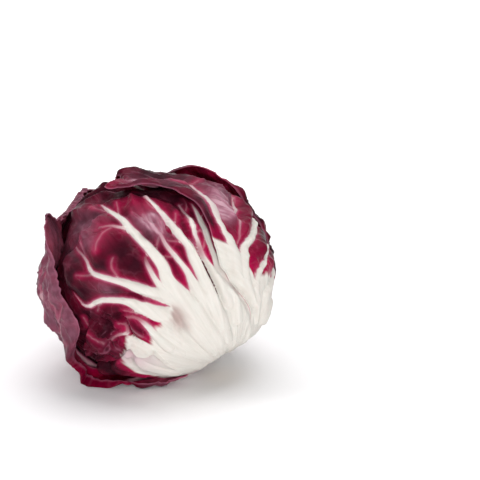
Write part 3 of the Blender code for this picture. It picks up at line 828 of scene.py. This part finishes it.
def stem(middle, material):
    """The white cone, with a cut face that dishes a little and shows its rings."""
    top, cut = STEM_TOP, BALL - 3.2
    profile = [(0, top), (STEM_TOP_RADIUS - 0.3, top), (STEM_TOP_RADIUS, top + 0.4)]
    profile += [
        (STEM_TOP_RADIUS + t * (STEM_CUT_RADIUS - 0.25 - STEM_TOP_RADIUS), top + t * (cut - 0.8 - top))
        for t in np.linspace(0.05, 1, 40)
    ]
    profile.append((STEM_CUT_RADIUS - 0.5, cut - 0.2))
    profile += [(r, cut - 0.25 - 0.45 * (1 - (r / STEM_CUT_RADIUS) ** 2)) for r in np.linspace(9, 0, 16)]
    bm = bmesh.new()
    axis_points = [bm.verts.new((r, 0, z)) for r, z in profile]
    edges = [bm.edges.new(pair) for pair in zip(axis_points, axis_points[1:])]
    bmesh.ops.spin(
        bm, geom=axis_points + edges, cent=(0, 0, 0), axis=(0, 0, 1),
        angle=2 * math.pi, steps=96, use_merge=True,
    )
    bmesh.ops.remove_doubles(bm, verts=bm.verts, dist=1e-4)
    bmesh.ops.recalc_face_normals(bm, faces=bm.faces)
    mesh = mesh_from(bm, "stem")
    spots = points_of(mesh)
    out = np.hypot(spots[:, 0], spots[:, 1])
    turn = np.arctan2(spots[:, 1], spots[:, 0])
    rough = 0.25 * noise(np.stack([np.cos(turn) * 2, np.sin(turn) * 2, spots[:, 2] * 0.1], 1), 81)
    rough += 0.12 * noise(spots * 0.9, 82)
    spots[:, :2] *= (1 + rough / np.maximum(out, 3))[:, None]
    spots[:, 2] += np.where(spots[:, 2] > cut - 1, 0.15 * noise(spots * 0.6, 83), 0)
    turned = spots[:, :1] * FRONT_WAY - spots[:, 1:2] * SIDE_WAY + spots[:, 2:] * STEM_WAY
    place_points(mesh, turned * STRETCH, middle)
    add_field(mesh, "cut", smooth_step(cut - 1.4, cut - 0.7, spots[:, 2]))
    add_field(mesh, "round", np.stack([out, turn * 3, spots[:, 2]], axis=1))
    mesh.shade_smooth()
    return add_object("stem_look", mesh, [material])


# Materials


class Nodes:
    """A material's node tree, with one short call for each kind of node."""

    def __init__(self, name):
        self.material = bpy.data.materials.new(name)
        self.material.use_nodes = True
        self.tree = self.material.node_tree
        self.shader = self.tree.nodes["Principled BSDF"]

    def fill(self, node, values):
        """Sets or links a node's inputs, given by name or number, and returns its outputs."""
        for name, value in values.items():
            if isinstance(value, bpy.types.NodeSocket):
                self.tree.links.new(value, node.inputs[name])
            else:
                node.inputs[name].default_value = value
        return node.outputs

    def surface(self, values):
        self.fill(self.shader, values)
        return self.material

    def field(self, name, output="Fac"):
        node = self.tree.nodes.new("ShaderNodeAttribute")
        node.attribute_name = name
        return node.outputs[output]

    def place(self):
        return self.tree.nodes.new("ShaderNodeTexCoord").outputs["Object"]

    def parts(self, vector):
        return self.fill(self.tree.nodes.new("ShaderNodeSeparateXYZ"), {0: vector})

    def math(self, operation, a, b, clamp=False):
        node = self.tree.nodes.new("ShaderNodeMath")
        node.operation, node.use_clamp = operation, clamp
        return self.fill(node, {0: a, 1: b})[0]

    def plus(self, a, b, clamp=False):
        return self.math("ADD", a, b, clamp)

    def times(self, a, b):
        return self.math("MULTIPLY", a, b)

    def between(self, value, low, high, start=0, end=1):
        """value's place between low and high, smoothly, as start to end."""
        node = self.tree.nodes.new("ShaderNodeMapRange")
        node.interpolation_type = "SMOOTHSTEP"
        return self.fill(node, dict(enumerate((value, low, high, start, end))))[0]

    def vector(self, operation, *values):
        node = self.tree.nodes.new("ShaderNodeVectorMath")
        node.operation = operation
        return self.fill(node, dict(enumerate(values)))

    def scaled(self, vector, scale):
        return self.vector("MULTIPLY", vector, scale)[0]

    def noise(self, vector, scale, detail, output="Fac"):
        node = self.tree.nodes.new("ShaderNodeTexNoise")
        return self.fill(node, {"Vector": vector, "Scale": scale, "Detail": detail})[output]

    def cell_edges(self, vector, scale):
        node = self.tree.nodes.new("ShaderNodeTexVoronoi")
        node.feature = "DISTANCE_TO_EDGE"
        return self.fill(node, {"Vector": vector, "Scale": scale})["Distance"]

    def mix(self, share, a, b):
        node = self.tree.nodes.new("ShaderNodeMix")
        node.data_type = "RGBA"
        return self.fill(node, {"Factor": share, "A": a, "B": b})["Result"]

    def bump(self, height, strength, distance, **more):
        node = self.tree.nodes.new("ShaderNodeBump")
        values = {"Height": height, "Strength": strength, "Distance": distance, **more}
        return self.fill(node, values)[0]


CREAM = (0.7, 0.677, 0.637, 1)
CREAM_SHADE = (0.56, 0.53, 0.475, 1)
PINK = (0.58, 0.2, 0.31, 1)
MAGENTA = (0.36, 0.0006, 0.05, 1)
CRIMSON = (0.24, 0.0004, 0.03, 1)
RUBY = (0.22, 0.0006, 0.018, 1)
WINE = (0.085, 0.0003, 0.01, 1)
DEEP = (0.018, 0.0001, 0.003, 1)
# Mauve of waxy bloom and painted sheen; taupe of painted shade on the white foot; pale mauve of painted
# highlight and painted shade.
MAUVE = (0.33, 0.12, 0.18, 1)
TAUPE = (0.36, 0.25, 0.23, 1)
PALE_MAUVE = (0.52, 0.34, 0.39, 1)


def leaf_material(name, outside):
    """Cream ribs that spread into a white foot, wine-red flesh between them, brightest beside the
    ribs, faint veins, and patches of full red, of near-black painted shade and of dull mauve waxy
    bloom with painted sheen, pale as a painted highlight where strong; fold crests get a painted
    sheen, and dips of the white foot taupe painted shade. The inside face is a fuller red, with
    fainter ribs."""
    n = Nodes(name)
    plane, fan = n.field("plane", "Vector"), n.field("fan", "Vector")
    rib, size, foot = n.field("rib"), n.field("rib_size"), n.field("foot")
    margin, crest = n.field("margin"), n.field("crest")
    # tone: waxy bloom with painted sheen, full red, and painted shade
    bloom_sheen_share, full, painted_shade = n.parts(n.field("tone", "Vector"))

    streaks = n.noise(n.scaled(fan, (0.9, 0.07, 1)), 1, 4)
    blotches = n.noise(plane, 0.11, 4)
    grain = n.noise(plane, 1.3, 3)
    tatter = n.times(n.math("SUBTRACT", streaks, 0.5), 1.3)
    edge = n.plus(rib, n.times(tatter, n.between(size, 0.3, 2.5, 0.25, 1)))
    strong = n.between(size, 0.35, 0.95, 0.16, 1)
    ribbed = n.times(n.between(edge, -0.15, 0.45, 1, 0), strong)
    tongues = n.noise(n.scaled(fan, (0.33, 0.03, 1)), 1, 2)
    footed = n.plus(foot, n.times(n.math("SUBTRACT", tongues, 0.5), 9))
    footed = n.plus(footed, n.times(tatter, 2))
    white = n.math("MAXIMUM", ribbed, n.between(footed, -1.5, 2))
    if not outside:
        white = n.times(white, 0.3)

    wander = n.scaled(n.noise(plane, 0.35, 2, "Color"), (3.2, 3.2, 0))
    wandered = n.vector("ADD", plane, wander)[0]
    net = n.between(n.cell_edges(n.scaled(wandered, (1, 0.55, 1)), 0.2), 0, 0.1, 1, 0)
    net = n.times(net, n.between(blotches, 0.4, 0.62))

    beside = n.between(edge, 0.2, 3.2, 1, 0)
    above_foot = n.between(footed, -14, -1)
    bright = n.plus(n.times(beside, 0.6), n.times(above_foot, 0.85), clamp=True)
    bright = n.times(bright, n.between(blotches, 0.25, 0.6, 0.45, 1))
    deeper, paler = (DEEP, WINE) if outside else (WINE, RUBY)
    flesh = n.mix(n.between(blotches, 0.36, 0.66), deeper, paler)
    veiled = n.plus(n.times(streaks, 0.5), n.noise(plane, 0.3, 5))
    layers = (
        (bright, MAGENTA),
        (n.times(full, n.between(streaks, 0.3, 0.7, 0.6, 1)), CRIMSON),
        # painted shade in hollows and under overhangs
        (n.times(painted_shade, n.between(streaks, 0.3, 0.7, 1, 0.7)), DEEP),
        # painted sheen on fold crests
        (n.between(crest, 0.35, 0.85, 0, 0.12), MAUVE),
        # waxy bloom with painted sheen, and a pale painted highlight where strong
        (n.times(bloom_sheen_share, n.between(veiled, 0.5, 1, 0.6, 1.1)), MAUVE),
        (n.times(n.between(bloom_sheen_share, 0.55, 1), n.between(streaks, 0.38, 0.62, 0.1, 0.75)), PALE_MAUVE),
        (n.times(net, 0.05), PINK),
        # painted highlight on the sharpest fold crests
        (n.between(crest, 0.62, 0.95, 0, 0.15), PINK),
        (n.between(margin, 0, 0.8, 0.3, 0), PINK),
        (n.times(n.between(edge, 0.1, 1.3, 0.5, 0), strong), PINK),
    )
    for share, colour in layers:
        flesh = n.mix(share, flesh, colour)
    rib_tone = n.mix(streaks, CREAM_SHADE, CREAM)
    thin = n.times(n.between(size, 0.3, 1.1, 0.5, 0), n.between(edge, 0, 0.6, 1, 0))
    thin = n.times(thin, n.between(footed, -4, 0, 1, 0))
    rib_tone = n.mix(thin, rib_tone, PINK)
    # painted shade, taupe, in dips of the white foot
    rib_tone = n.mix(n.times(painted_shade, n.between(footed, 1, 5, 0, 0.75)), rib_tone, TAUPE)
    # waxy bloom with painted sheen on the ribs, and painted shade on the white foot
    rib_tone = n.mix(n.times(bloom_sheen_share, 0.7), rib_tone, PALE_MAUVE)

    rough = n.plus(n.times(grain, 0.22), 0.19 if outside else 0.17)
    rough = n.plus(rough, n.times(bloom_sheen_share, 0.12))
    height = n.plus(n.times(streaks, 0.9), n.times(grain, 0.25))
    rise = n.bump(height, 0.5, 0.0006)
    return n.surface({
        "Base Color": n.mix(white, flesh, rib_tone),
        "Roughness": n.plus(rough, n.times(white, 0.08)),
        "Normal": n.bump(net, 0.4, 0.0003, Normal=rise),
        "IOR": 1.42,
        "Specular IOR Level": 0.06,
        "Specular Tint": (1, 0.55, 0.7, 1),
        "Subsurface Weight": 0.06,
        "Subsurface Radius": (1, 0.35, 0.35),
        "Subsurface Scale": 0.0012,
    })


def heart_material():
    n = Nodes("heart_flesh")
    fold = n.field("fold")
    mottle = n.noise(n.place(), 260, 4)
    tone = n.mix(n.between(fold, 0.3, 1.2), WINE, MAGENTA)
    tone = n.mix(n.between(mottle, 0.52, 0.66), tone, CREAM_SHADE)
    return n.surface({
        "Base Color": tone,
        "Roughness": n.plus(n.times(mottle, 0.25), 0.3),
        "Normal": n.bump(mottle, 0.5, 0.0006),
    })


def stem_material():
    """Cream flesh; the cut is browned at its rim, with a paler ring of vessels round its pith."""
    n = Nodes("stem_flesh")
    cut, where = n.field("cut"), n.field("round", "Vector")
    out = n.parts(where)[0]
    mottle = n.noise(where, 0.9, 4)
    spots = n.noise(where, 3.5, 2)
    side = n.mix(mottle, CREAM_SHADE, CREAM)
    wander = n.plus(out, n.times(mottle, 1.6))
    rim = n.between(wander, 7.6, 10.6)
    ring = n.times(n.between(wander, 4.6, 5.6), n.between(wander, 6, 7.2, 1, 0))
    face = n.mix(mottle, (0.6, 0.47, 0.3, 1), (0.72, 0.64, 0.48, 1))
    face = n.mix(n.times(ring, 0.6), face, (0.5, 0.3, 0.17, 1))
    face = n.mix(n.times(rim, 0.85), face, (0.26, 0.13, 0.065, 1))
    face = n.mix(n.between(spots, 0.62, 0.72, 0, 0.6), face, (0.3, 0.16, 0.08, 1))
    height = n.plus(mottle, n.times(spots, 0.5))
    return n.surface({
        "Base Color": n.mix(cut, side, face),
        "Roughness": n.plus(n.times(mottle, 0.3), 0.4),
        "Normal": n.bump(height, 0.6, 0.0005),
    })


# Stage


def stage():
    """A white table that curves up into a white wall, and glows away from the head."""
    reach, wall, bend = 3, 2.5, 0.8
    profile = [(-reach, 0), (reach - bend, 0)]
    profile += [
        (reach - bend + bend * math.sin(t), bend - bend * math.cos(t))
        for t in np.linspace(0, math.pi / 2, 12)[1:]
    ]
    profile.append((reach, wall))
    bm = bmesh.new()
    rows = [[bm.verts.new((side * 4, y, z)) for y, z in profile] for side in (-1, 1)]
    for k in range(len(profile) - 1):
        bm.faces.new((rows[0][k], rows[1][k], rows[1][k + 1], rows[0][k + 1]))
    mesh = mesh_from(bm, "table")
    mesh.shade_smooth()
    n = Nodes("white_table")
    away = n.vector("LENGTH", n.place())["Value"]
    white = n.surface({
        "Base Color": (0.93, 0.925, 0.935, 1),
        "Roughness": 0.85,
        "Specular IOR Level": 0.2,
        "Emission Color": (1, 1, 1, 1),
        "Emission Strength": n.between(away, 0.11, 0.8, 0.03, 0.9),
    })
    add_object("table", mesh, [white])


def lamp(name, place, target, size, watts, gloss=True):
    light = bpy.data.lights.new(name, "AREA")
    light.shape = "RECTANGLE"
    light.size, light.size_y = size
    light.energy = watts
    made = add_object(name, light)
    made.location = place
    made.visible_glossy = gloss
    made.rotation_euler = (Vector(target) - Vector(place)).to_track_quat("-Z", "Y").to_euler()


def lights(middle):
    world = bpy.data.worlds.new("studio")
    bpy.context.scene.world = world
    world.use_nodes = True
    background = world.node_tree.nodes["Background"].inputs
    background["Color"].default_value = (1, 1, 1, 1)
    background["Strength"].default_value = 0.1
    lamp("overhead", (0.06, 0.1, 0.85), middle, (0.85, 0.6), 6.2)
    lamp("front", (0.12, -1, 0.5), middle, (0.45, 0.4), 3.4, gloss=False)
    lamp("left", (-0.8, -0.2, 0.5), middle, (0.3, 0.45), 2.8)
    lamp("low", (0.25, -0.8, 0.07), middle, (0.5, 0.12), 3.2, gloss=False)
    bpy.context.scene.view_settings.view_transform = "Standard"


def camera(middle):
    """A long lens, a little above the table, that leaves room to the head's right."""
    rise, distance = math.radians(14), 0.57
    ahead = Vector((0, math.cos(rise), -math.sin(rise)))
    up = Vector((0, math.sin(rise), math.cos(rise)))
    target = Vector(middle) + 0.041 * Vector((1, 0, 0)) + 0.018 * up
    lens = bpy.data.cameras.new("camera")
    lens.lens = 85
    lens.clip_end = 20
    made = add_object("camera", lens)
    made.location = target - ahead * distance
    made.rotation_euler = ahead.to_track_quat("-Z", "Y").to_euler()
    bpy.context.scene.camera = made


def stands_for(piece, node):
    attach(piece, "root")
    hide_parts(node)


def main():
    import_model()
    low, high = (np.array(corner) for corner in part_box("heart"))
    middle = (low + high) / 2
    middle[2] = FLOOR_DROP / 1000

    skins = [leaf_material("leaf_outside", True), leaf_material("leaf_inside", False)]
    for place, leaf in enumerate(OUTER_LEAVES):
        piece = outer_leaf(leaf, OUTER_LEAVES[:place], middle, skins)
        stands_for(piece, leaf.name)
    pitch = (INNER_RADIUS - HEART_RADIUS) / INNER_COUNT
    thickness = (pitch - INNER_GAP) / 1000 * INNER_SHARE
    for number in range(INNER_COUNT):
        piece = inner_leaf(number, INNER_RADIUS - number * pitch, thickness, middle, skins)
        stands_for(piece, f"inner_leaf_{number + 1}")
    stands_for(heart(middle, heart_material()), "heart")
    stands_for(stem(middle, stem_material()), "stem")

    stage()
    lights(middle)
    camera(middle)


main()
